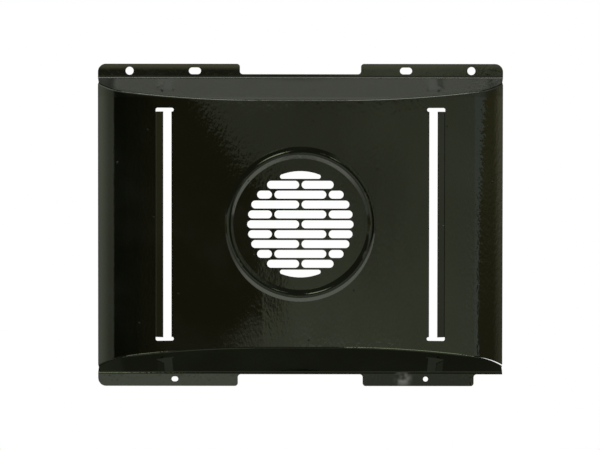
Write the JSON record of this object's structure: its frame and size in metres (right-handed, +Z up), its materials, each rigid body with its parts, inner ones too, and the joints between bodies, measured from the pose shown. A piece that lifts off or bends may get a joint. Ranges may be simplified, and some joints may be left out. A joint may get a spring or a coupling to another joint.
{
  "type": "motor fan cover",
  "caption": "Pressed and enamelled steel cover that screws over an oven's fan: bowed panel, round intake grille with a bead, long outlet slots with bent flaps, tabbed flanges.",
  "frame": {"origin": "where the fan's axis, through the middle of the grille, meets the mounting plane, which is the face of the flanges that lies on the oven's back wall", "axes": "+X along the long side, to the right when the open back is seen; +Y along the fan's axis, from the back wall into the oven; +Z up"},
  "size_m": [0.4048, 0.039, 0.321],
  "materials": {
    "enamel": "glossy black vitreous enamel with a faint orange peel"
  },
  "bodies": {
    "root": {"fan_cover": "enamel"}
  },
  "joints": []
}
